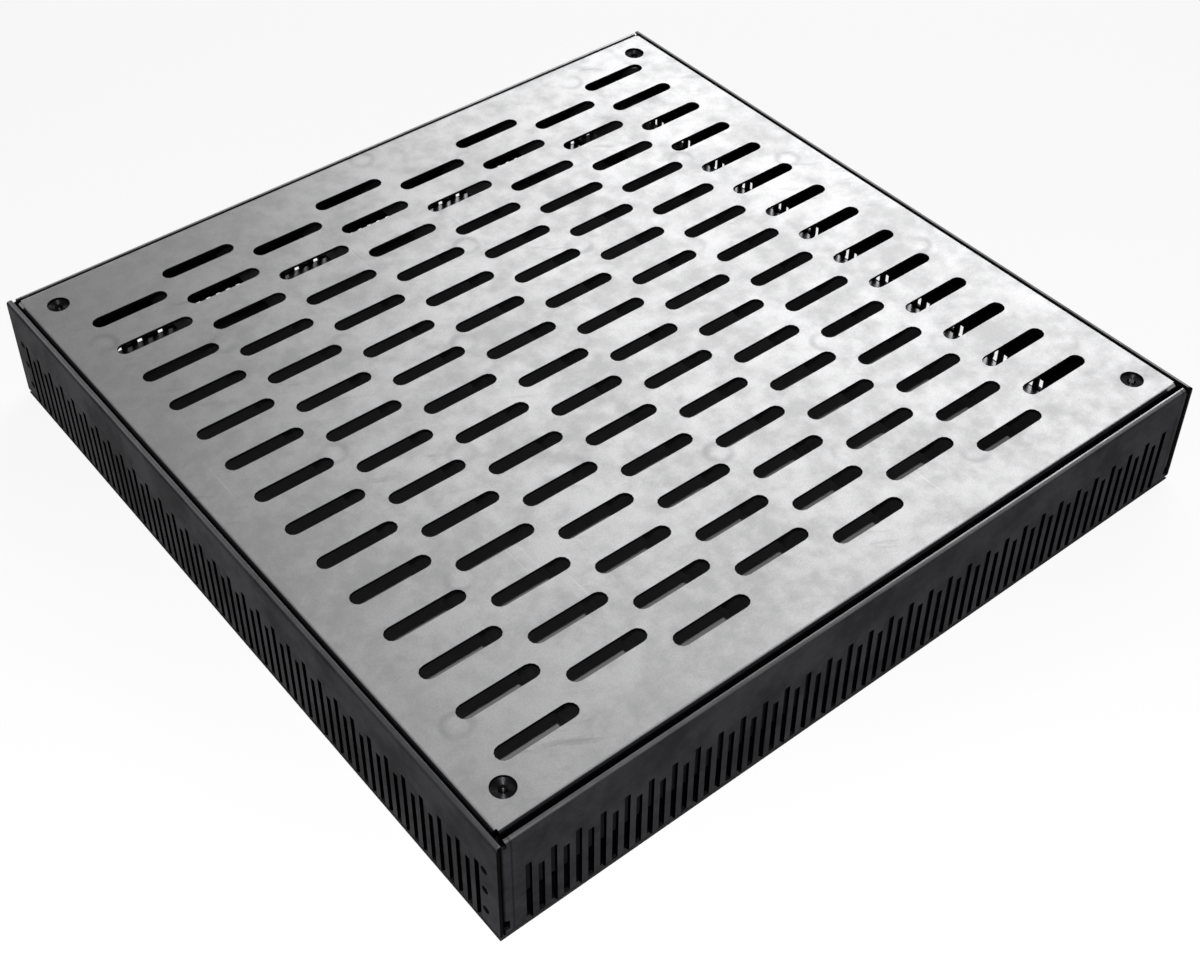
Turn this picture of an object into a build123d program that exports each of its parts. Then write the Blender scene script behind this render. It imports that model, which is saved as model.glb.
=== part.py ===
"""Square terrace drain grate: a slotted cover pan that stands on levelling screws in a slotted frame.

All lengths are millimetres. The origin is the middle of the frame's base, +Z is up,
the front wall faces -Y and the left wall faces -X.
"""

from build123d import *
import os

os.makedirs("parts", exist_ok=True)

# Sheet and its bends
sheet = 1.5
bend_inside = 0.8
bend_outside = bend_inside + sheet
foot_bend_flats = 2

# Frame
frame_width = 404.0
frame_length = 402.0
frame_height = 60.0
lip_reach = 2.5
base_flange = 12.0
mitre_gap = 0.4
foot_rounding = 3.0
top_rounding = 1.5

# Folded ends of the front and back walls, with a wider bend than the lip has
corner_bend_inside = 1.8
corner_bend_outside = corner_bend_inside + sheet
corner_flange = 15.0
corner_foot = 10.0
corner_headroom = 0.3
relief_foot = 4.5
strip_gap = 0.3

# Upright slots in the four walls
wall_slot_width = 3.0
wall_slot_arch = 0.9
wall_slot_pitch = 6.05
wall_slot_margin = 12.5
high_slot_top = 39.0
low_slot_top = 34.0
low_slot_foot_gap = 0.3

# Cover pan
side_clearance = 0.5
end_clearance = 1.75
right_gap = 0.3
far_gap = 0.5
skirt_depth = 48.0
cover_bend = 2.0
corner_opening = 2.3

# Slots and tool holes in the cover
slot_length = 40.0
slot_width = 8.0
slot_end_flats = 6
column_pitch = 45.0
row_pitch = 25.0
slot_side_margin = 15.0
slot_end_margin = 18.0
tool_hole = 11.0
tool_hole_inset_x = 15.25
tool_hole_inset_y = 15.5

# Stiffening ribs under the cover
rib_thickness = 3.0
rib_depth = 20.0
rib_end_gap = 0.1

# Corner plates, threaded posts and levelling screws
corner_plate = 45.0
corner_plate_thickness = 2.0
corner_plate_cut = 12.0
plate_edge_gap = 0.2
post_diameter = 14.0
post_chamfer = 0.8
spindle_diameter = 8.0
spindle_play = 0.05
spindle_foot_gap = 1.5
spindle_chamfer = 1.0
head_diameter = 16.0
head_thickness = 3.0
head_chamfer = 0.5
head_gap = 0.5
socket_across_flats = 4.0
socket_depth = 2.2

# Sizes that follow from the ones above
half_width = frame_width / 2
half_length = frame_length / 2
cover_width = frame_width - 2 * (2 * sheet + side_clearance)
cover_length = frame_length - 2 * (lip_reach + end_clearance)
cover_centre_x = side_clearance - right_gap
cover_centre_y = end_clearance - far_gap
cover_underside = frame_height - sheet
tool_hole_spacing_x = cover_width - 2 * tool_hole_inset_x
tool_hole_spacing_y = cover_length - 2 * tool_hole_inset_y
plate_top = sheet + corner_plate_thickness
head_underside = cover_underside - head_thickness

up = Vector(0, 0, 1)
corners = {
    "front_left": (-1, -1),
    "front_right": (1, -1),
    "back_right": (1, 1),
    "back_left": (-1, 1),
}


def slot_centres(wall_length):
    """Places along a wall for its upright slots, an odd number so that both ends match."""
    pairs = int((wall_length / 2 - wall_slot_margin) / wall_slot_pitch)
    return [step * wall_slot_pitch for step in range(-pairs, pairs + 1)]


def section_plane(face_centre, inward):
    """Plane across a wall: its x runs into the frame and its y runs up."""
    return Plane(origin=face_centre, x_dir=inward, z_dir=inward.cross(up))


def face_plane(face_centre, inward):
    """Plane on a wall's outer face: its x runs along the wall and its y runs up."""
    return Plane(origin=face_centre, x_dir=inward.cross(up), z_dir=-inward)


def plan_plane(face_centre, inward, height):
    """Level plane at a height: its x runs along the wall and its y runs into the frame."""
    return Plane(origin=face_centre + up * height, x_dir=inward.cross(up), z_dir=up)


def flats_round(centre_x, centre_y, radius, first_angle, last_angle, flats):
    """Points along an arc, for a curve that repeats so often that it is drawn with a few flats."""
    turn = (last_angle - first_angle) / flats
    spokes = [Vector(radius, 0).rotate(Axis.Z, first_angle + step * turn) for step in range(flats + 1)]
    return [(centre_x + spoke.X, centre_y + spoke.Y) for spoke in spokes]


def wall_section():
    """Outline of a folded wall: a rolled lip on top, the face and the base flange."""
    with BuildLine() as outline:
        Line((lip_reach, frame_height), (bend_outside, frame_height))
        RadiusArc((bend_outside, frame_height), (0, frame_height - bend_outside), -bend_outside)
        Line((0, frame_height - bend_outside), (0, bend_outside))
        Polyline(*flats_round(bend_outside, bend_outside, bend_outside, 180, 270, foot_bend_flats))
        Line((bend_outside, 0), (base_flange, 0))
        Line((base_flange, 0), (base_flange, sheet))
        Line((base_flange, sheet), (bend_outside, sheet))
        Polyline(*flats_round(bend_outside, bend_outside, bend_inside, 270, 180, foot_bend_flats))
        Line((sheet, bend_outside), (sheet, frame_height - bend_outside))
        RadiusArc((sheet, frame_height - bend_outside), (bend_outside, frame_height - sheet), bend_inside)
        Line((bend_outside, frame_height - sheet), (lip_reach, frame_height - sheet))
        Line((lip_reach, frame_height - sheet), (lip_reach, frame_height))
    return outline.line


def wall_slots(face_centre, inward, wall_length):
    """Upright slots with a blunt arch on top. The high ones run on through the bottom bend."""
    centres = slot_centres(wall_length)
    low_foot = bend_outside + low_slot_foot_gap
    with BuildSketch(face_plane(face_centre, inward)) as slots:
        with Locations(*[(x, high_slot_top / 2) for x in centres[::2]]):
            Rectangle(wall_slot_width, high_slot_top)
        with Locations(*[(x, (low_slot_top + low_foot) / 2) for x in centres[1::2]]):
            Rectangle(wall_slot_width, low_slot_top - low_foot)
        tops = slots.vertices().filter_by(lambda corner: corner.Z > low_slot_top - wall_slot_width)
        chamfer(tops, length=wall_slot_arch)
    return slots.sketch


def side_wall(face_centre, inward):
    """A left or right wall: flat, with free upright ends that cover the corner flanges."""
    flange_end = base_flange + sheet
    with BuildPart() as wall:
        with BuildSketch(section_plane(face_centre, inward)):
            with BuildLine():
                add(wall_section())
            make_face()
        extrude(amount=half_length, both=True)
        extrude(wall_slots(face_centre, inward, frame_length), amount=-bend_outside, mode=Mode.SUBTRACT)
        with BuildSketch(plan_plane(face_centre, inward, 0)) as mitres:
            for end in (-1, 1):
                with BuildLine():
                    Polyline(
                        (end * half_length, sheet),
                        (end * (half_length - sheet - mitre_gap), sheet),
                        (end * (half_length - flange_end - mitre_gap), flange_end),
                        (end * half_length, flange_end),
                        close=True,
                    )
                make_face()
        extrude(amount=bend_outside, mode=Mode.SUBTRACT)
        with BuildSketch(face_plane(face_centre, inward)) as square_corners:
            for end in (-1, 1):
                with Locations((end * (half_length - foot_rounding / 2), foot_rounding / 2)):
                    Rectangle(foot_rounding, foot_rounding)
                with Locations((end * (half_length - foot_rounding), foot_rounding)):
                    Circle(foot_rounding, mode=Mode.SUBTRACT)
                with Locations((end * (half_length - top_rounding / 2), frame_height - top_rounding / 2)):
                    Rectangle(top_rounding, top_rounding)
                with Locations((end * (half_length - top_rounding), frame_height - top_rounding)):
                    Circle(top_rounding, mode=Mode.SUBTRACT)
        extrude(amount=-base_flange, mode=Mode.SUBTRACT)
    return wall.part


def end_wall(face_centre, inward):
    """A front or back wall: its ends fold in behind the side walls, with a relief notch at each foot."""
    fold_face = half_width - sheet
    fold_inside = fold_face - sheet
    flat_end = fold_face - corner_bend_outside
    strip_end = half_width - bend_outside - strip_gap
    flange_top = frame_height - bend_outside - corner_headroom
    flange_end = base_flange + sheet
    with BuildPart() as wall:
        with BuildSketch(section_plane(face_centre, inward)):
            with BuildLine():
                add(wall_section())
            make_face()
        extrude(amount=strip_end, both=True)
        with BuildSketch(face_plane(face_centre, inward)) as reliefs:
            for end in (-1, 1):
                with Locations((end * (flat_end + fold_face) / 2, (relief_foot + frame_height) / 2)):
                    Rectangle(fold_face - flat_end, frame_height - relief_foot)
        extrude(amount=-base_flange, mode=Mode.SUBTRACT)
        with BuildSketch(plan_plane(face_centre, inward, corner_foot)) as folds:
            for end in (-1, 1):
                with BuildLine():
                    Line((end * flat_end, 0), (end * flat_end, sheet))
                    RadiusArc(
                        (end * flat_end, sheet),
                        (end * fold_inside, corner_bend_outside),
                        -end * corner_bend_inside,
                    )
                    Line((end * fold_inside, corner_bend_outside), (end * fold_inside, corner_flange))
                    Line((end * fold_inside, corner_flange), (end * fold_face, corner_flange))
                    Line((end * fold_face, corner_flange), (end * fold_face, corner_bend_outside))
                    RadiusArc(
                        (end * fold_face, corner_bend_outside),
                        (end * flat_end, 0),
                        end * corner_bend_outside,
                    )
                make_face()
        extrude(amount=flange_top - corner_foot)
        extrude(wall_slots(face_centre, inward, 2 * fold_face), amount=-bend_outside, mode=Mode.SUBTRACT)
        with BuildSketch(plan_plane(face_centre, inward, 0)) as mitres:
            for end in (-1, 1):
                with BuildLine():
                    Polyline(
                        (end * half_width, sheet),
                        (end * (half_width - sheet - mitre_gap), sheet),
                        (end * (half_width - flange_end - mitre_gap), flange_end),
                        (end * half_width, flange_end),
                        close=True,
                    )
                make_face()
        extrude(amount=bend_outside, mode=Mode.SUBTRACT)
    return wall.part


# The four walls of the frame
wall_left = side_wall(Vector(-half_width, 0, 0), Vector(1, 0, 0))
wall_right = side_wall(Vector(half_width, 0, 0), Vector(-1, 0, 0))
wall_front = end_wall(Vector(0, -half_length, 0), Vector(0, 1, 0))
wall_back = end_wall(Vector(0, half_length, 0), Vector(0, -1, 0))
frame_walls = {
    "wall_left": wall_left,
    "wall_right": wall_right,
    "wall_front": wall_front,
    "wall_back": wall_back,
}
for name, piece in frame_walls.items():
    piece.label = name
    export_step(piece, f"parts/{name}.step")

# The cover: one pan folded from sheet, with open corners, staggered slots and four tool holes
cover_centre = Vector(cover_centre_x, cover_centre_y, 0)
slot_columns = int((cover_width - 2 * slot_side_margin + column_pitch - slot_length) / column_pitch)
row_span = cover_length - 2 * slot_end_margin - slot_width - row_pitch / 2
slot_rows = int(row_span / row_pitch) + 1
column_places = [(column - (slot_columns - 1) / 2) * column_pitch for column in range(slot_columns)]
row_places = [(row - (slot_rows - 1) / 2) * row_pitch for row in range(slot_rows)]
slot_places = []
for column, x in enumerate(column_places):
    stagger = (column % 2 - 0.5) * row_pitch / 2
    for y in row_places:
        slot_places.append((x, y + stagger))

slot_end = (slot_length - slot_width) / 2
with BuildSketch() as punched_slot:
    with BuildLine():
        Polyline(
            *flats_round(slot_end, 0, slot_width / 2, -90, 90, slot_end_flats),
            *flats_round(-slot_end, 0, slot_width / 2, 90, 270, slot_end_flats),
            close=True,
        )
    make_face()

with BuildPart() as cover:
    with BuildSketch(Plane(origin=cover_centre + up * (frame_height - skirt_depth))) as blank:
        Rectangle(cover_width, cover_length)
    extrude(amount=skirt_depth)
    fillet(cover.faces().sort_by(Axis.Z)[-1].edges(), radius=cover_bend)
    offset(amount=-sheet, openings=cover.faces().sort_by(Axis.Z)[0])
    with BuildSketch(Plane(origin=cover_centre + up * frame_height)) as open_corners:
        with GridLocations(cover_width, cover_length, 2, 2):
            Rectangle(2 * corner_opening, 2 * corner_opening)
    extrude(amount=-skirt_depth, mode=Mode.SUBTRACT)
    with BuildSketch(Plane(origin=cover_centre + up * frame_height)) as punched:
        with Locations(*slot_places):
            add(punched_slot.sketch)
        with GridLocations(tool_hole_spacing_x, tool_hole_spacing_y, 2, 2):
            Circle(tool_hole / 2)
    extrude(amount=-sheet, mode=Mode.SUBTRACT)
cover.part.label = "cover"
export_step(cover.part, "parts/cover.step")

# Flat ribs on edge under the webs between the columns of slots
rib_length = cover_length - 2 * (cover_bend + rib_end_gap)
for number, x in enumerate(column_places[:-1], start=1):
    rib_centre = cover_centre + Vector(x + column_pitch / 2, 0, cover_underside)
    with BuildPart() as rib:
        with BuildSketch(Plane(origin=rib_centre)):
            Rectangle(rib_thickness, rib_length)
        extrude(amount=-rib_depth)
    rib.part.label = f"rib_{number}"
    export_step(rib.part, f"parts/rib_{number}.step")

# In each corner a plate lies on the base flanges and carries a threaded post with its levelling screw
plate_inset = bend_outside + plate_edge_gap
for name, (side_x, side_y) in corners.items():
    plate_corner = Vector(side_x * (half_width - plate_inset), side_y * (half_length - plate_inset), sheet)
    with BuildPart() as corner_base:
        with BuildSketch(Plane(origin=plate_corner)):
            with BuildLine():
                Polyline(
                    (0, 0),
                    (-side_x * corner_plate, 0),
                    (-side_x * corner_plate, -side_y * (corner_plate - corner_plate_cut)),
                    (-side_x * (corner_plate - corner_plate_cut), -side_y * corner_plate),
                    (0, -side_y * corner_plate),
                    close=True,
                )
            make_face()
        extrude(amount=corner_plate_thickness)
    corner_base.part.label = f"corner_plate_{name}"
    export_step(corner_base.part, f"parts/corner_plate_{name}.step")

    screw_axis = cover_centre + Vector(side_x * tool_hole_spacing_x / 2, side_y * tool_hole_spacing_y / 2, 0)
    post_height = head_underside - head_gap - plate_top
    with BuildPart() as post:
        with BuildSketch(Plane(origin=screw_axis + up * plate_top)):
            Circle(post_diameter / 2)
        extrude(amount=post_height)
        chamfer(post.faces().sort_by(Axis.Z)[-1].edges(), length=post_chamfer)
        with BuildSketch(Plane(origin=screw_axis + up * plate_top)):
            Circle(spindle_diameter / 2 + spindle_play)
        extrude(amount=post_height, mode=Mode.SUBTRACT)
    post.part.label = f"post_{name}"
    export_step(post.part, f"parts/post_{name}.step")

    with BuildPart() as screw:
        with BuildSketch(Plane(origin=screw_axis + up * head_underside)):
            Circle(head_diameter / 2)
        extrude(amount=head_thickness)
        chamfer(screw.faces().sort_by(Axis.Z)[-1].edges(), length=head_chamfer)
        with BuildSketch(Plane(origin=screw_axis + up * head_underside)):
            Circle(spindle_diameter / 2)
        extrude(amount=-(head_underside - plate_top - spindle_foot_gap))
        chamfer(screw.faces().sort_by(Axis.Z)[0].edges(), length=spindle_chamfer)
        with BuildSketch(Plane(origin=screw_axis + up * cover_underside)):
            RegularPolygon(socket_across_flats / 2, 6, major_radius=False)
        extrude(amount=-socket_depth, mode=Mode.SUBTRACT)
    screw.part.label = f"levelling_screw_{name}"
    export_step(screw.part, f"parts/levelling_screw_{name}.step")
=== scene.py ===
# %% [markdown]
# # A terrace drain grate, dressed for its photograph
#
# The grate is folded and welded from thin steel sheet: a slotted frame that stands on the roof, and a slotted
# cover pan that stands in it on four levelling screws. The construction model already holds every piece at its
# real size. This lesson gives each surface its finish, adds the traces that welding and handling leave, and
# lights the whole. All lengths are in metres, with millimetres written as `MM`.

# %% Load the construction model
import math

import bpy
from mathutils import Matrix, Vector


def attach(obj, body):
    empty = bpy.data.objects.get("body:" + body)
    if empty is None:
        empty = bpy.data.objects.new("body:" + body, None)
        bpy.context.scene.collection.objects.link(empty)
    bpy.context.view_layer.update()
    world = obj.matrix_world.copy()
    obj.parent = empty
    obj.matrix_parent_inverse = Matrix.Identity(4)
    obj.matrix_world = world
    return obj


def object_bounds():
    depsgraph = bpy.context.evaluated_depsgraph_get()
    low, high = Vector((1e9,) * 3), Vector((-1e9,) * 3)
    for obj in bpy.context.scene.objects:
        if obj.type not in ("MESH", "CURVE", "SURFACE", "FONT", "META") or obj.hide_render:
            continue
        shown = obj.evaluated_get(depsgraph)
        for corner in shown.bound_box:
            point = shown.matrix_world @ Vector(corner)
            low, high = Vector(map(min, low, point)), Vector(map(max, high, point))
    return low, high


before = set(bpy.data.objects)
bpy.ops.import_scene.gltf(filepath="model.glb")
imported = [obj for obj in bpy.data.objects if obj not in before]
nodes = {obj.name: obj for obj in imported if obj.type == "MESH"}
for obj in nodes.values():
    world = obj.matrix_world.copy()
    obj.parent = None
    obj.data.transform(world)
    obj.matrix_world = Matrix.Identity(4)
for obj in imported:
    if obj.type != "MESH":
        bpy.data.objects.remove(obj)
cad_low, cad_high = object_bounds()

MM = 0.001
print("pieces in the model:", len(nodes))
print("size in mm:", [round(side / MM, 1) for side in cad_high - cad_low])

# %% [markdown]
# ## Camera
#
# The photograph looks down on one corner from about 43 degrees, with a lens a little longer than normal. The
# optical centre lies above the middle of the picture, as when a picture is cropped from the bottom of a larger
# one, so the camera gets a small shift. The place and the turn were worked out from the corners of the cover
# and from the rows of slots, whose real spacing is known.

# %% Make the camera
CAMERA_PLACE = (-421.8 * MM, -525.4 * MM, 641.9 * MM)
CAMERA_TURN = (48.54, 0.0, -38.59)
CAMERA_LENS = 55.95
CAMERA_SHIFT = (0.0167, -0.1)

camera_data = bpy.data.cameras.new("camera")
camera_data.lens = CAMERA_LENS
camera_data.sensor_width = 36.0
camera_data.shift_x, camera_data.shift_y = CAMERA_SHIFT
camera_data.clip_start = 0.01
camera = bpy.data.objects.new("camera", camera_data)
camera.location = CAMERA_PLACE
camera.rotation_euler = [math.radians(angle) for angle in CAMERA_TURN]
bpy.context.scene.collection.objects.link(camera)
bpy.context.scene.camera = camera
print("camera:", [round(value, 3) for value in camera.location], "lens", CAMERA_LENS)

# %% [markdown]
# ## Two helpers for node trees
#
# A colour is easiest to choose as the eye sees it, in sRGB hex, while the renderer adds light in linear values,
# so one function turns the first into the second. The other function adds a node: its settings are keywords,
# and each input is a value, a socket, or an earlier node, whose first output is then linked.

# %% Colours and nodes
def linear(hex_colour):
    """An sRGB colour such as "#808080" as four linear values."""
    levels = [int(hex_colour[start:start + 2], 16) / 255 for start in (1, 3, 5)]
    return [level / 12.92 if level <= 0.04045 else ((level + 0.055) / 1.055) ** 2.4 for level in levels] + [1.0]


def add_node(tree, kind, inputs=None, **settings):
    """Adds a node with its settings, sets or links its inputs, and gives the node back."""
    node = tree.nodes.new(kind)
    for name, value in settings.items():
        setattr(node, name, value)
    for name, value in (inputs or {}).items():
        if isinstance(value, bpy.types.Node):
            value = value.outputs[0]
        if isinstance(value, bpy.types.NodeSocket):
            tree.links.new(value, node.inputs[name])
        else:
            node.inputs[name].default_value = value
    return node


print("mid grey is", [round(value, 3) for value in linear("#808080")])

# %% [markdown]
# ## The studio
#
# The object stands on a plain pale floor. Steel shows little colour of its own: it shows what surrounds it.
# Here that is a dim room with white walls low down, and one large soft light behind the object, to the right,
# which the cover mirrors as a slope from grey in the left corner to nearly white in the right one.

# %% The room
ROOM_DIM = 0.17
HORIZON_START = 0.16
HORIZON_TOP = 0.48

world = bpy.data.worlds.new("room")
bpy.context.scene.world = world
world.use_nodes = True
tree = world.node_tree
tree.nodes.clear()
direction = add_node(tree, "ShaderNodeTexCoord").outputs["Generated"]
height = add_node(tree, "ShaderNodeSeparateXYZ", {"Vector": direction}).outputs["Z"]
level = add_node(tree, "ShaderNodeMapRange",
                 {"Value": height, "From Min": HORIZON_START, "From Max": HORIZON_TOP,
                  "To Min": 1.0, "To Max": ROOM_DIM}, interpolation_type="SMOOTHSTEP")
seen = add_node(tree, "ShaderNodeLightPath").outputs["Is Camera Ray"]
level = add_node(tree, "ShaderNodeMath", {0: level, 1: seen}, operation="MAXIMUM")
room = add_node(tree, "ShaderNodeBackground", {"Color": linear("#FFFFFF"), "Strength": level})
add_node(tree, "ShaderNodeOutputWorld", {"Surface": room})
bpy.context.scene.view_settings.view_transform = "Standard"
print("room level overhead:", ROOM_DIM)


# %% The lamps
def add_lamp(name, azimuth, elevation, distance, size, power):
    """A soft rectangular lamp that looks at the object. Azimuth runs from +X towards +Y, in degrees."""
    data = bpy.data.lights.new(name, "AREA")
    data.shape = "RECTANGLE"
    data.size, data.size_y = size
    data.energy = power
    lamp = bpy.data.objects.new(name, data)
    flat = math.cos(math.radians(elevation))
    out = Vector((math.cos(math.radians(azimuth)) * flat, math.sin(math.radians(azimuth)) * flat,
                  math.sin(math.radians(elevation))))
    lamp.location = out * distance
    lamp.rotation_euler = out.to_track_quat("Z", "Y").to_euler()
    lamp.visible_camera = False
    bpy.context.scene.collection.objects.link(lamp)
    print(f"{name}: {power} W, {size[0]} by {size[1]} m")


add_lamp("window_light", azimuth=34, elevation=33, distance=2.2, size=(1.8, 1.6), power=18)
add_lamp("fill_light", azimuth=-120, elevation=60, distance=2.5, size=(1.5, 1.5), power=2)

# %% [markdown]
# A small flash sits just above the lens. It gives the turned screws their glint and the near edges their line.

# %% The flash on the camera
FLASH_RISE = 107 * MM
FLASH_SIDE = 8 * MM
FLASH_POWER = 8.0

flash_data = bpy.data.lights.new("flash", "AREA")
flash_data.size = FLASH_SIDE
flash_data.energy = FLASH_POWER
flash = bpy.data.objects.new("flash", flash_data)
flash.location = camera.location + Vector((0, 0, FLASH_RISE))
flash.rotation_euler = flash.location.to_track_quat("Z", "Y").to_euler()
flash.visible_camera = False
bpy.context.scene.collection.objects.link(flash)
print("flash:", FLASH_POWER, "W")

# %% [markdown]
# ## The floor
#
# The floor is a plain pale sheet. The photograph's background is plain white, so what the camera sees of the
# floor is lifted most of the way to white, also where steel mirrors it, and the rest is the floor's own lit
# colour, which keeps the soft shadow. Under the grate nothing is lifted, and the floor's colour is painted grey
# as painted shade, darkest along the walls.

# %% Lay the floor
FLOOR_SIDE = 24.0
FLOOR_GAP = 0.1 * MM

bpy.ops.object.select_all(action="DESELECT")
bpy.ops.mesh.primitive_plane_add(size=FLOOR_SIDE, location=(0, 0, cad_low.z - FLOOR_GAP))
floor = bpy.context.object
floor.name = "floor"
print("floor side:", FLOOR_SIDE, "m")

# %% Tone of the floor
SHADE_RIM_START = 170 * MM
SHADE_RIM_END = 192 * MM

# Matt paper: white in every direction, with no gloss of its own.
floor_paper = bpy.data.materials.new("matt_white_paper")
floor_paper.use_nodes = True
tree = floor_paper.node_tree
tree.nodes.clear()
place = add_node(tree, "ShaderNodeTexCoord").outputs["Object"]
axes = add_node(tree, "ShaderNodeSeparateXYZ", {"Vector": place}).outputs
across = add_node(tree, "ShaderNodeMath", {0: axes["X"]}, operation="ABSOLUTE")
along = add_node(tree, "ShaderNodeMath", {0: axes["Y"]}, operation="ABSOLUTE")
outside_x = add_node(tree, "ShaderNodeMath", {0: across, 1: cad_high.x}, operation="GREATER_THAN")
outside_y = add_node(tree, "ShaderNodeMath", {0: along, 1: cad_high.y}, operation="GREATER_THAN")
outside = add_node(tree, "ShaderNodeMath", {0: outside_x, 1: outside_y}, operation="MAXIMUM")
reach = add_node(tree, "ShaderNodeMath", {0: across, 1: along}, operation="MAXIMUM")
# Painted shade: under the grate the floor's colour is grey, and darkest along the foot of the walls.
rim = add_node(tree, "ShaderNodeMapRange", {"Value": reach, "From Min": SHADE_RIM_START, "From Max": SHADE_RIM_END})
under = add_node(tree, "ShaderNodeMix", {0: rim, 6: linear("#707070"), 7: linear("#2C2C2C")}, data_type="RGBA")
tone = add_node(tree, "ShaderNodeMix", {0: outside, 6: under.outputs[2], 7: linear("#F4F4F4")},
                data_type="RGBA").outputs[2]
print("rim of the drain from", SHADE_RIM_START / MM, "to", SHADE_RIM_END / MM, "mm")

# %% Lift the floor towards white
FLOOR_LIFT = 0.8

ray = add_node(tree, "ShaderNodeLightPath").outputs
seen = add_node(tree, "ShaderNodeMath", {0: ray["Is Camera Ray"], 1: ray["Is Glossy Ray"]}, operation="MAXIMUM")
seen = add_node(tree, "ShaderNodeMath", {0: seen, 1: ray["Is Transmission Ray"]}, operation="MAXIMUM")
lift = add_node(tree, "ShaderNodeMath", {0: seen, 1: outside}, operation="MULTIPLY")
lift = add_node(tree, "ShaderNodeMath", {0: lift, 1: FLOOR_LIFT}, operation="MULTIPLY")
paper = add_node(tree, "ShaderNodeBsdfDiffuse", {"Color": tone})
white = add_node(tree, "ShaderNodeEmission", {"Color": linear("#FFFFFF"), "Strength": 1.0})
mixed = add_node(tree, "ShaderNodeMixShader", {0: lift, 1: paper, 2: white})
add_node(tree, "ShaderNodeOutputMaterial", {"Surface": mixed})
floor.data.materials.append(floor_paper)
print("lift towards white:", FLOOR_LIFT)

# %% [markdown]
# ## Mill-finish steel
#
# Every piece is plain cold-rolled steel as it leaves the mill: no brushing and no paint, only a fine matt grain
# and soft clouds where the rolls, oil and hands have been. The finish could be a picture of real steel, but
# then it would stretch over the folds, so the clouds and the grain are noise that fills space, read at each
# point's own place in metres. The size of a pattern is the real size of its patches. The clouds change the tone
# and the gloss together, as a film of oil does.

# %% Start a steel
def start_steel(name, sizes):
    """An empty steel, its tree, the point's place on the object, and a noise for each pattern.

    sizes gives each pattern the size of its patches in metres and its number of finer layers.
    """
    material = bpy.data.materials.new(name)
    material.use_nodes = True
    tree = material.node_tree
    tree.nodes.clear()
    place = add_node(tree, "ShaderNodeTexCoord").outputs["Object"]
    patterns = {}
    for pattern, (size, detail) in sizes.items():
        patterns[pattern] = add_node(tree, "ShaderNodeTexNoise",
                                     {"Vector": place, "Scale": 1 / size, "Detail": detail, "Roughness": 0.6})
        print(f"{name}: {pattern} of {size / MM:.1f} mm")
    return material, tree, place, patterns


def cloud_steel(tree, clouds, limits, tones, gloss):
    """Tone and roughness that change together with the clouds, between two limits of the noise."""
    share = add_node(tree, "ShaderNodeMapRange", {"Value": clouds, "From Min": limits[0], "From Max": limits[1]},
                     interpolation_type="SMOOTHSTEP")
    tone = add_node(tree, "ShaderNodeMix", {0: share, 6: linear(tones[0]), 7: linear(tones[1])}, data_type="RGBA")
    roughness = add_node(tree, "ShaderNodeMapRange", {"Value": share, "To Min": gloss[0], "To Max": gloss[1]})
    return tone.outputs[2], roughness


print("made two helpers: start_steel and cloud_steel")

# %% [markdown]
# Every trace on the steel, such as a stain or the painted highlight on a lip, lies where several things hold at
# once: a place, a height, a patch of noise. Each is a soft step between two values, and their product is the area
# of the trace.
# The traces are then laid over the tone one by one, like glazes.

# %% Areas and layers
def find_area(tree, *steps):
    """Where all the steps hold: each is a value, where it starts and ends, and two levels if not 0 and 1."""
    area = 1.0
    for value, start, end, *levels in steps:
        before, after = levels or (0.0, 1.0)
        step = add_node(tree, "ShaderNodeMapRange",
                        {"Value": value, "From Min": start, "From Max": end, "To Min": before, "To Max": after},
                        interpolation_type="SMOOTHSTEP")
        area = add_node(tree, "ShaderNodeMath", {0: area, 1: step}, operation="MULTIPLY")
    return area


def finish_steel(tree, tone, layers, roughness, height, depth, more=None):
    """Lays areas of colour over the tone and makes the metal, with its relief and further settings."""
    for area, strength, colour in layers:
        share = add_node(tree, "ShaderNodeMath", {0: area, 1: strength}, operation="MULTIPLY")
        tone = add_node(tree, "ShaderNodeMix", {0: share, 6: tone, 7: linear(colour)},
                        data_type="RGBA").outputs[2]
    relief = add_node(tree, "ShaderNodeBump", {"Height": height, "Strength": 0.2, "Distance": depth})
    settings = {"Base Color": tone, "Metallic": 1.0, "Roughness": roughness, "Normal": relief}
    steel = add_node(tree, "ShaderNodeBsdfPrincipled", settings | (more or {}))
    add_node(tree, "ShaderNodeOutputMaterial", {"Surface": steel})
    print("layers over the tone:", len(layers))


def dress(prefixes, material):
    """Gives a material to every piece whose name starts with one of the prefixes."""
    dressed = [name for name in nodes if name.startswith(prefixes)]
    for name in dressed:
        for slot in nodes[name].material_slots:
            slot.material = material
    print(material.name, "on", len(dressed), "pieces")


print("names to dress:", sorted({name.split("_")[0] for name in nodes}))

# %% [markdown]
# ## The cover plate
#
# The top of the cover has been walked on and handled: large soft clouds, small mottling, a few oil stains,
# smears where a cloth has wiped them, and fine scratches that run mostly one way. Smears and scratches are the
# same noise, read through a Mapping node that stretches it one way.

# %% Clouds of the plate
PLATE_TONES = ("#B7B7B8", "#CDCDCE")
PLATE_GLOSS = (0.44, 0.39)
PLATE_SIZES = {"clouds": (48 * MM, 7.0), "mottling": (9 * MM, 6.0), "grain": (0.8 * MM, 2.0),
               "stains": (38 * MM, 7.0), "wiped areas": (52 * MM, 2.0), "scratched areas": (70 * MM, 2.0),
               "heated areas": (45 * MM, 2.0)}
CLOUD_LIMITS = (0.36, 0.62)

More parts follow.
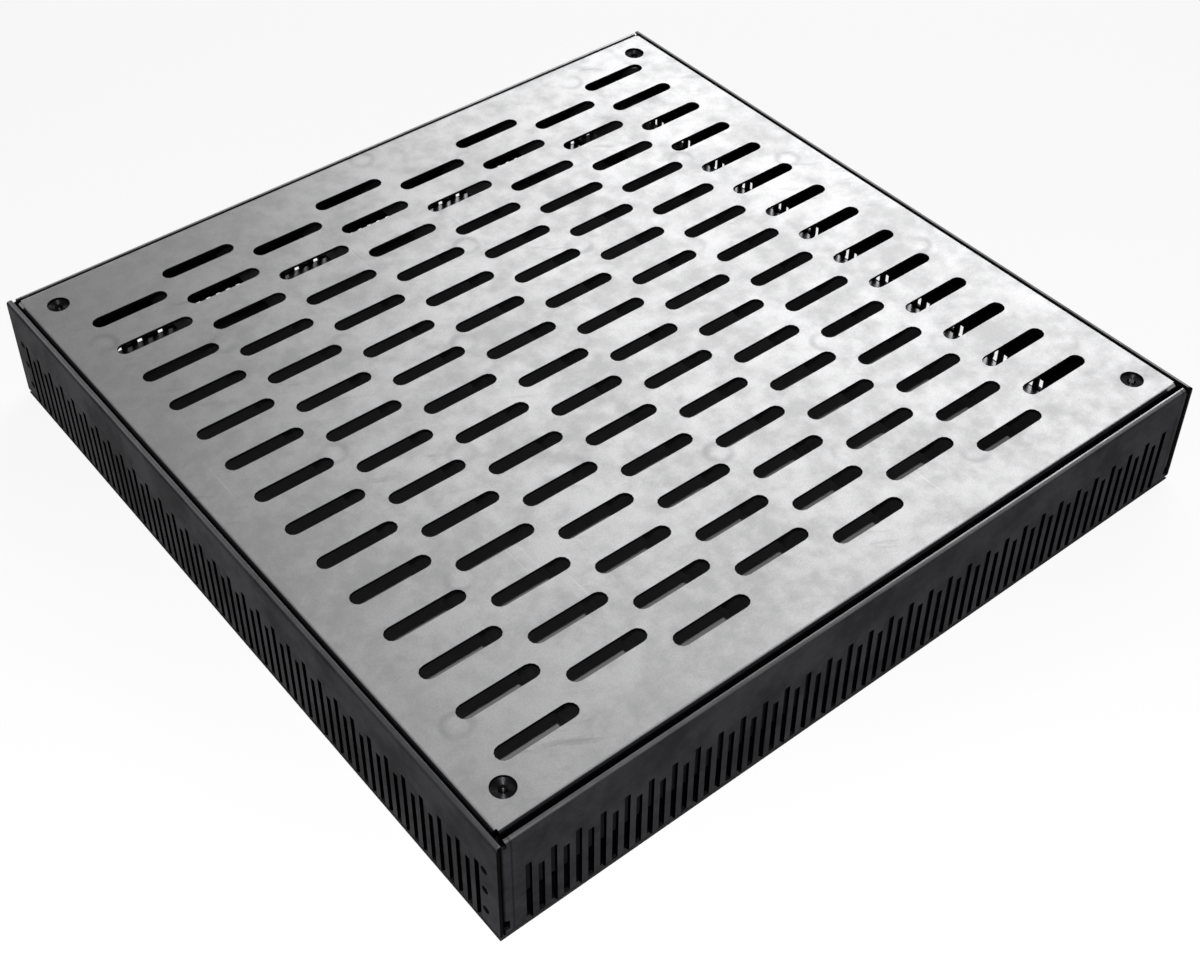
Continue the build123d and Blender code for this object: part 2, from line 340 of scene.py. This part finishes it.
# Mill finish: rolled between smooth rolls, so it mirrors the room as a soft glow and never as a sharp picture.
plate_steel, tree, place, patterns = start_steel("mill_finish_steel_plate", PLATE_SIZES)
axes = add_node(tree, "ShaderNodeSeparateXYZ", {"Vector": place}).outputs
clouds = add_node(tree, "ShaderNodeMix", {0: 0.5, 2: patterns["clouds"], 3: patterns["mottling"]})
tone, roughness = cloud_steel(tree, clouds, CLOUD_LIMITS, PLATE_TONES, PLATE_GLOSS)
stains = find_area(tree, (patterns["stains"], 0.60, 0.74))
speckle = find_area(tree, (patterns["grain"], 0.35, 0.75))
layers = [(stains, 0.28, "#828284"), (speckle, 0.24, "#8A8A8C")]

# %% Wiped smears of the plate
SMEAR_TURN = math.radians(-29)
SMEAR_WIDTH = 6 * MM
SMEAR_STRETCH = 5.0

wiped = add_node(tree, "ShaderNodeMapping",
                 {"Vector": place, "Rotation": (0.0, 0.0, SMEAR_TURN), "Scale": (SMEAR_STRETCH, 1.0, 1.0)},
                 vector_type="TEXTURE")
streaks = add_node(tree, "ShaderNodeTexNoise",
                   {"Vector": wiped, "Scale": 1 / SMEAR_WIDTH, "Detail": 6.0, "Roughness": 0.6})
smears = find_area(tree, (streaks, 0.56, 0.72), (patterns["wiped areas"], 0.52, 0.62))
layers.append((smears, 0.36, "#7A7A7C"))
print("smears about", round(SMEAR_WIDTH * SMEAR_STRETCH / MM), "mm long")

# %% Scratches of the plate
SCRATCH_TURN = math.radians(4)
SCRATCH_SIZE = 1.3 * MM
SCRATCH_STRETCH = 83.0

# Real scratches are finer than the render can show, so these are a few tenths of a millimetre wide.
stretched = add_node(tree, "ShaderNodeMapping",
                     {"Vector": place, "Rotation": (0.0, 0.0, SCRATCH_TURN),
                      "Scale": (1.0, 1 / SCRATCH_STRETCH, 1.0)})
lines = add_node(tree, "ShaderNodeTexNoise",
                 {"Vector": stretched, "Scale": 1 / SCRATCH_SIZE, "Detail": 1.0, "Roughness": 0.6})
scratches = find_area(tree, (lines, 0.70, 0.78), (patterns["scratched areas"], 0.50, 0.66))
layers.append((scratches, 0.5, "#E6E6E8"))
print("scratches up to", round(SCRATCH_SIZE * SCRATCH_STRETCH / MM), "mm long")

# %% [markdown]
# Where the ribs are welded to its underside, the heat shows through as faint dark rings with a paler middle.
# The welds repeat along each rib and are staggered from rib to rib. PINGPONG folds the distance along an axis
# back and forth, so that one ring is drawn once and shows at every weld, and noise hides most of them.

# %% Distance from the nearest weld
RIB_PITCH = 45 * MM
RIB_CENTRE = 0.2 * MM
WELD_PITCH = 96 * MM
WELD_STAGGER = 0.37 * WELD_PITCH

from_centre = add_node(tree, "ShaderNodeMath", {0: axes["X"], 1: RIB_CENTRE}, operation="SUBTRACT")
from_rib = add_node(tree, "ShaderNodeMath", {0: from_centre, 1: RIB_PITCH / 2}, operation="PINGPONG")
rib_number = add_node(tree, "ShaderNodeMath", {0: from_centre, 1: RIB_PITCH}, operation="DIVIDE")
rib_number = add_node(tree, "ShaderNodeMath", {0: rib_number}, operation="ROUND")
along = add_node(tree, "ShaderNodeMath", {0: rib_number, 1: WELD_STAGGER, 2: axes["Y"]},
                 operation="MULTIPLY_ADD")
from_weld = add_node(tree, "ShaderNodeMath", {0: along, 1: WELD_PITCH / 2}, operation="PINGPONG")
weld_place = add_node(tree, "ShaderNodeCombineXYZ", {"X": from_rib, "Y": from_weld})
weld_distance = add_node(tree, "ShaderNodeVectorMath", {0: weld_place}, operation="LENGTH").outputs["Value"]
print("a weld every", WELD_PITCH / MM, "mm on ribs", RIB_PITCH / MM, "mm apart")

# %% Heat rings of the rib welds
HEAT_RADIUS = 6 * MM
HEAT_WIDTH = 2.8 * MM
HEAT_MIDDLE = 4 * MM

off_ring = add_node(tree, "ShaderNodeMath", {0: weld_distance, 1: HEAT_RADIUS}, operation="SUBTRACT")
off_ring = add_node(tree, "ShaderNodeMath", {0: off_ring}, operation="ABSOLUTE")
heated = (patterns["heated areas"], 0.42, 0.62)
ring = find_area(tree, (off_ring, 0.0, HEAT_WIDTH, 1.0, 0.0), heated)
middle = find_area(tree, (weld_distance, 0.0, HEAT_MIDDLE, 1.0, 0.0), heated)
layers += [(ring, 0.34, "#77777A"), (middle, 0.20, "#E2E2E3")]
print("heat rings of", round(2 * HEAT_RADIUS / MM), "mm over the ribs")

# %% [markdown]
# The folded edges and the skirts of the cover are the same steel as the top, but their colour is painted as dark
# as the frame, as painted shade and a painted dark reflection. On the far two edges the painted dark starts a
# little further down. The painted dark steel also mirrors less at a flat angle, which is what Specular Tint
# sets on a metal.

# %% Put the cover together
SKIRT_PAINTED_DARK = "#2C2C2F"
SKIRT_FILM = "#B2B2B2"
EDGE_BAND = 190 * MM
PLATE_TOP = cad_high.z
GRAIN_DEPTH = 0.02 * MM

# Painted shade and painted dark reflection: all below the flat top is painted dark, a little lower on the far
# edges.
far_side = add_node(tree, "ShaderNodeMath", {0: axes["X"], 1: axes["Y"]}, operation="MAXIMUM")
flat_top = find_area(tree, (axes["Z"], PLATE_TOP - 0.25 * MM, PLATE_TOP - 0.03 * MM))
far_edge_kept_light = find_area(tree, (axes["Z"], PLATE_TOP - 1.2 * MM, PLATE_TOP - 0.6 * MM),
                      (far_side, EDGE_BAND, EDGE_BAND + 2 * MM))
bare = add_node(tree, "ShaderNodeMath", {0: flat_top, 1: far_edge_kept_light}, operation="MAXIMUM")
skirt = add_node(tree, "ShaderNodeMath", {0: 1.0, 1: bare}, operation="SUBTRACT")
layers.append((skirt, 1.0, SKIRT_PAINTED_DARK))
film = add_node(tree, "ShaderNodeMix", {0: skirt, 6: linear("#FFFFFF"), 7: linear(SKIRT_FILM)},
                data_type="RGBA").outputs[2]
roughness = add_node(tree, "ShaderNodeMath", {0: stains, 1: 0.04, 2: roughness}, operation="MULTIPLY_ADD")
height = add_node(tree, "ShaderNodeMath", {0: scratches, 1: -0.8, 2: patterns["grain"]},
                  operation="MULTIPLY_ADD")
finish_steel(tree, tone, layers, roughness, height, GRAIN_DEPTH, {"Specular Tint": film})
dress(("cover",), plate_steel)

# %% [markdown]
# ## The frame
#
# The walls come from the same mill. Their colour is painted dark, a painted dark reflection, and only the top of
# the rolled lip is painted bright, a painted highlight, less at the near corner and on the right wall.

# %% Painted highlight on the lip of a wall
LIP_DEPTH = 0.9 * MM
LIP_FULL = 0.2 * MM


def find_lip_highlight(tree, axes, clouds):
    """The top of the lip, where a highlight is painted, uneven as the clouds are."""
    # Painted highlight: bright on the lip's top, less towards the near corner and on the right wall.
    from_corner = add_node(tree, "ShaderNodeMath", {0: axes["X"], 1: axes["Y"]}, operation="ADD")
    return find_area(tree, (axes["Z"], cad_high.z - LIP_DEPTH, cad_high.z - LIP_FULL),
                     (clouds, 0.30, 0.55, 0.55, 1.0),
                     (from_corner, -2 * cad_high.x, 0.0, 0.3, 1.0),
                     (axes["X"], cad_high.x - 6 * MM, cad_high.x - 3 * MM, 1.0, 0.3))


print("lip rubbed over its top", LIP_DEPTH / MM, "mm")

# %% [markdown]
# The base flange lies inside, at the foot of the wall. On the far walls it is glossier and mirrors the slots
# above it, and its colour is also painted bright, a painted reflection. On the near walls its colour is painted
# dark, as painted shade.

# %% Foot of a wall
FLANGE_TOP = 1.5 * MM
BEND_WIDTH = 2.3 * MM
FAR_START = -50 * MM
FAR_END = 50 * MM


def find_flange_shade_and_sheen(tree, axes, across):
    """The base flange, and the share of it on the far side, for a wall that faces along the across axis."""
    inner_face = cad_high["XY".index(across)] - BEND_WIDTH
    off_middle = add_node(tree, "ShaderNodeMath", {0: axes[across]}, operation="ABSOLUTE")
    # The flange's colour is painted: dark as painted shade, and bright on the far side as a painted reflection.
    foot = find_area(tree, (axes["Z"], FLANGE_TOP + 0.1 * MM, FLANGE_TOP + 0.8 * MM, 1.0, 0.0),
                     (off_middle, inner_face - 0.1 * MM, inner_face, 1.0, 0.0))
    far_side = find_area(tree, (axes[across], FAR_START, FAR_END))
    far_flange_painted_sheen = add_node(tree, "ShaderNodeMath", {0: foot, 1: far_side}, operation="MULTIPLY")
    return foot, far_flange_painted_sheen


print("flange top at", FLANGE_TOP / MM, "mm, foot bend", BEND_WIDTH / MM, "mm wide")

# %% [markdown]
# The sides of the punched slots and the sheared ends are painted darker still, as painted shade. They are found
# by the way the surface faces: on a wall that runs along Y, only cut faces look along Y. A faint line of painted
# shade lies beside each folded corner of the end walls, at the edge of the bend.

# %% Cut faces and lines of bend shade
BEND_SHADE_LINE = cad_high.x - 6.8 * MM


def find_cut_faces(tree, run_axis):
    """The faces that look along the wall."""
    # These faces are painted dark as painted shade.
    normal = add_node(tree, "ShaderNodeNewGeometry").outputs["True Normal"]
    facing = add_node(tree, "ShaderNodeSeparateXYZ", {"Vector": normal}).outputs[run_axis]
    facing = add_node(tree, "ShaderNodeMath", {0: facing}, operation="ABSOLUTE")
    return find_area(tree, (facing, 0.35, 0.70))


def find_bend_shade_lines(tree, axes, run_axis):
    """A thin line of painted shade beside each end of the wall."""
    # Painted shade: a thin dark line at the edge of the bend.
    off_line = add_node(tree, "ShaderNodeMath", {0: axes[run_axis]}, operation="ABSOLUTE")
    off_line = add_node(tree, "ShaderNodeMath", {0: off_line, 1: BEND_SHADE_LINE}, operation="SUBTRACT")
    off_line = add_node(tree, "ShaderNodeMath", {0: off_line}, operation="ABSOLUTE")
    return find_area(tree, (off_line, 0.2 * MM, 0.6 * MM, 1.0, 0.0))


print("press lines", round(BEND_SHADE_LINE / MM, 1), "mm from the middle")

# %% Put the walls together
WALL_PAINTED_DARK_TONES = ("#2B2B2D", "#3A3A3D")
WALL_GLOSS = (0.52, 0.40)
WALL_SIZES = {"clouds": (40 * MM, 6.0), "mottling": (9 * MM, 4.0), "grain": (0.8 * MM, 2.0)}
PAINTED_SHADE_STEEL = "#0B0B0C"
WALL_FILM = "#BEBEBE"


def make_wall_steel(name, run_axis, across, bend_shaded):
    """Mill steel painted dark for a wall that runs along one axis, faces along the other, and may have painted
    shade lines.
    """
    material, tree, place, patterns = start_steel(name, WALL_SIZES)
    axes = add_node(tree, "ShaderNodeSeparateXYZ", {"Vector": place}).outputs
    clouds = add_node(tree, "ShaderNodeMix", {0: 0.3, 2: patterns["clouds"], 3: patterns["mottling"]})
    tone, roughness = cloud_steel(tree, clouds, CLOUD_LIMITS, WALL_PAINTED_DARK_TONES, WALL_GLOSS)
    painted_lip_highlight = find_lip_highlight(tree, axes, patterns["clouds"])
    foot, far_flange_painted_sheen = find_flange_shade_and_sheen(tree, axes, across)
    # Painted light and shade: lip top a painted highlight; near flange, cut faces and bend lines painted shade;
    # far flange a painted reflection.
    layers = [(find_area(tree, (patterns["grain"], 0.40, 0.75)), 0.30, "#1C1C1E"),
              (painted_lip_highlight, 1.0, "#BCBCBE"), (foot, 1.0, PAINTED_SHADE_STEEL), (far_flange_painted_sheen, 1.0, "#8A8A8C"),
              (find_cut_faces(tree, run_axis), 1.0, PAINTED_SHADE_STEEL)]
    if bend_shaded:
        layers.append((find_bend_shade_lines(tree, axes, run_axis), 0.5, PAINTED_SHADE_STEEL))
    for area, change in ((painted_lip_highlight, -0.12), (far_flange_painted_sheen, -0.22)):
        roughness = add_node(tree, "ShaderNodeMath", {0: area, 1: change, 2: roughness},
                             operation="MULTIPLY_ADD")
    finish_steel(tree, tone, layers, roughness, patterns["grain"], GRAIN_DEPTH,
                 {"Specular Tint": linear(WALL_FILM)})
    return material


# Painted dark: nearly black and half matt, a painted dark reflection, so a wall shows little more than the pale
# floor it mirrors.
dress(("wall_left", "wall_right"), make_wall_steel("mill_steel_painted_dark_side_walls", "Y", "X", False))
dress(("wall_front", "wall_back"), make_wall_steel("mill_steel_painted_dark_end_walls", "X", "Y", True))

# %% [markdown]
# ## Bars, plates and posts
#
# Ribs are cut from rolled flat bar, and the corner plates and posts are plain stock. They lie in the dark under
# the cover, with a coarser grain than the sheet, and their colour is painted darkest near the bottom, as painted
# shade, so the plates at the bottom are the darkest.

# %% The bar steel
BAR_SIZES = {"clouds": (25 * MM, 5.0), "grain": (1.2 * MM, 2.0)}
BAR_TONES = ("#4E4E50", "#6A6A6C")
BAR_GLOSS = (0.56, 0.42)
SOFT_LIMITS = (0.35, 0.65)

# Rolled flat bar: a rougher skin than sheet, which scatters what little light comes through the slots.
bar_steel, tree, place, patterns = start_steel("rolled_flat_bar", BAR_SIZES)
height = add_node(tree, "ShaderNodeSeparateXYZ", {"Vector": place}).outputs["Z"]
tone, roughness = cloud_steel(tree, patterns["clouds"], SOFT_LIMITS, BAR_TONES, BAR_GLOSS)
# The second layer is painted shade: nearly black below 30 mm, fully so under 6 mm.
layers = [(find_area(tree, (patterns["grain"], 0.40, 0.75)), 0.25, "#3A3A3C"),
          (find_area(tree, (height, 6 * MM, 30 * MM, 1.0, 0.0)), 1.0, "#101011")]
finish_steel(tree, tone, layers, roughness, patterns["grain"], 2 * GRAIN_DEPTH)
dress(("rib_", "corner_plate_", "post_"), bar_steel)

# %% [markdown]
# ## Turned levelling screws
#
# The screws are turned on a lathe, and their colour is painted dark, as painted shade down the holes. The tool
# leaves fine rings on the head, and light that falls on rings spreads across them into two opposite fans, which
# is the bow-tie glint seen down each round hole. The rings are too fine to render one by one, so the metal is
# also made anisotropic: the tangent runs round the screw, and a quarter turn makes the glint spread along the
# radius.

# %% Rings on the four heads
SCREW_MIDDLE = (0.2 * MM, 1.25 * MM)
SCREW_REACH = (183.25 * MM, 181.25 * MM)
TURNING_PITCH = 0.3 * MM
WAVE_RINGS = math.tau / 20

# Painted shade: the turned metal is given a dark colour for the shade down the hole, and it still glints.
screw_steel, tree, place, patterns = start_steel("turned_steel_painted_dark", {"clouds": (5 * MM, 4.0)})
axes = add_node(tree, "ShaderNodeSeparateXYZ", {"Vector": place}).outputs
# The screws stand at the same distance from the cover's middle, so folding the place twice serves all four.
from_axis = {}
for axis, middle, reach in zip("XY", SCREW_MIDDLE, SCREW_REACH):
    side = add_node(tree, "ShaderNodeMath", {0: axes[axis], 1: middle}, operation="SUBTRACT")
    side = add_node(tree, "ShaderNodeMath", {0: side}, operation="ABSOLUTE")
    from_axis[axis] = add_node(tree, "ShaderNodeMath", {0: side, 1: reach}, operation="SUBTRACT")
ring_place = add_node(tree, "ShaderNodeCombineXYZ", from_axis)
rings = add_node(tree, "ShaderNodeTexWave", {"Vector": ring_place, "Scale": WAVE_RINGS / TURNING_PITCH},
                 wave_type="RINGS", rings_direction="Z").outputs["Fac"]
print("turning rings", TURNING_PITCH / MM, "mm apart")

# %% Thread and metal of the screws
THREAD_PITCH = 1.25 * MM
THREAD_TO_RINGS = 20.0
RING_DEPTH = 0.03 * MM
HEAD_BOTTOM = 55.4 * MM
# Painted shade: these dark tones stand in for the shade down the holes.
SCREW_SHADE_TONES = ("#343436", "#464648")
SCREW_GLOSS = (0.62, 0.54)
SCREW_FILM = "#B0B0B0"

thread = add_node(tree, "ShaderNodeTexWave", {"Vector": place, "Scale": WAVE_RINGS / THREAD_PITCH},
                  wave_type="BANDS", bands_direction="Z").outputs["Fac"]
thread = add_node(tree, "ShaderNodeMath", {0: thread, 1: THREAD_TO_RINGS}, operation="MULTIPLY")
on_head = find_area(tree, (axes["Z"], HEAD_BOTTOM - 0.1 * MM, HEAD_BOTTOM))
height = add_node(tree, "ShaderNodeMix", {0: on_head, 2: thread, 3: rings})
tone, roughness = cloud_steel(tree, patterns["clouds"], SOFT_LIMITS, SCREW_SHADE_TONES, SCREW_GLOSS)
tangent = add_node(tree, "ShaderNodeTangent", direction_type="RADIAL", axis="Z")
fans = {"Anisotropic": 1.0, "Anisotropic Rotation": 0.25, "Tangent": tangent,
        "Specular Tint": linear(SCREW_FILM)}
finish_steel(tree, tone, [], roughness, height, RING_DEPTH, fans)
dress(("levelling_screw_",), screw_steel)

# %% [markdown]
# ## Spot-weld marks
#
# The free ends of the side walls are spot-welded to the folded ends of the end walls, three spots at each
# corner. The electrodes leave shallow dished discs with a thin raised rim and a dark, heat-tinted middle. One
# mark is modelled as a disc whose face is inset three times, the rim lifted and the middle pushed in. It faces
# the left, and it is then copied to its twelve places, with half a turn on the right wall.

# %% Steel blued by the weld
WELD_TONES = ("#060607", "#141416")
WELD_GLOSS = (0.70, 0.50)
WELD_FILM = "#A8A8A8"
SCALE_DEPTH = 0.05 * MM

# Heat tint: the weld burns the skin to a nearly black, dull scale, so the marks read as dark dots.
weld_steel, tree, place, patterns = start_steel("heat_tinted_spot_weld", {"clouds": (1.5 * MM, 4.0)})
tone, roughness = cloud_steel(tree, patterns["clouds"], SOFT_LIMITS, WELD_TONES, WELD_GLOSS)
finish_steel(tree, tone, [], roughness, patterns["clouds"], SCALE_DEPTH, {"Specular Tint": linear(WELD_FILM)})

# %% Model one mark
MARK_RADIUS = 2.0 * MM
MARK_RIM = 0.45 * MM
MARK_PROUD = 0.06 * MM
MARK_DISH = 0.04 * MM

bpy.ops.object.select_all(action="DESELECT")
bpy.ops.mesh.primitive_circle_add(vertices=28, radius=MARK_RADIUS, fill_type="NGON",
                                  rotation=(0.0, math.radians(-90), 0.0))
first_mark = bpy.context.object
bpy.ops.object.transform_apply(location=True, rotation=True, scale=True)
bpy.ops.object.mode_set(mode="EDIT")
bpy.ops.mesh.inset(thickness=MARK_RIM / 2, depth=MARK_PROUD)
bpy.ops.mesh.inset(thickness=MARK_RIM / 2, depth=0.0)
bpy.ops.mesh.inset(thickness=MARK_RADIUS / 3, depth=-MARK_DISH)
bpy.ops.object.mode_set(mode="OBJECT")
bpy.ops.object.shade_smooth_by_angle(angle=math.radians(40))
first_mark.data.materials.append(weld_steel)
print("mark:", len(first_mark.data.polygons), "faces,", 2 * MARK_RADIUS / MM, "mm wide")

# %% Copy it to its places
MARK_HEIGHTS = (11 * MM, 24.5 * MM, 37.5 * MM)
MARK_FROM_END = 8.8 * MM
MARK_CORNERS = {"front_left": (-1, -1), "front_right": (1, -1), "back_right": (1, 1), "back_left": (-1, 1)}

places = [(corner, number) for corner in MARK_CORNERS for number in range(len(MARK_HEIGHTS))]
marks = [first_mark]
for _ in places[1:]:
    mark = first_mark.copy()
    mark.data = first_mark.data.copy()
    bpy.context.scene.collection.objects.link(mark)
    marks.append(mark)
for mark, (corner, number) in zip(marks, places):
    side, end = MARK_CORNERS[corner]
    mark.name = f"spot_weld_{corner}_{number + 1}"
    mark.location = (side * cad_high.x, end * (cad_high.y - MARK_FROM_END), MARK_HEIGHTS[number])
    mark.rotation_euler.z = math.pi if side > 0 else 0.0
    mark.select_set(True)
bpy.ops.object.transform_apply(location=True, rotation=True, scale=True)
for mark in marks:
    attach(mark, "frame")
print("spot-weld marks:", len(marks))
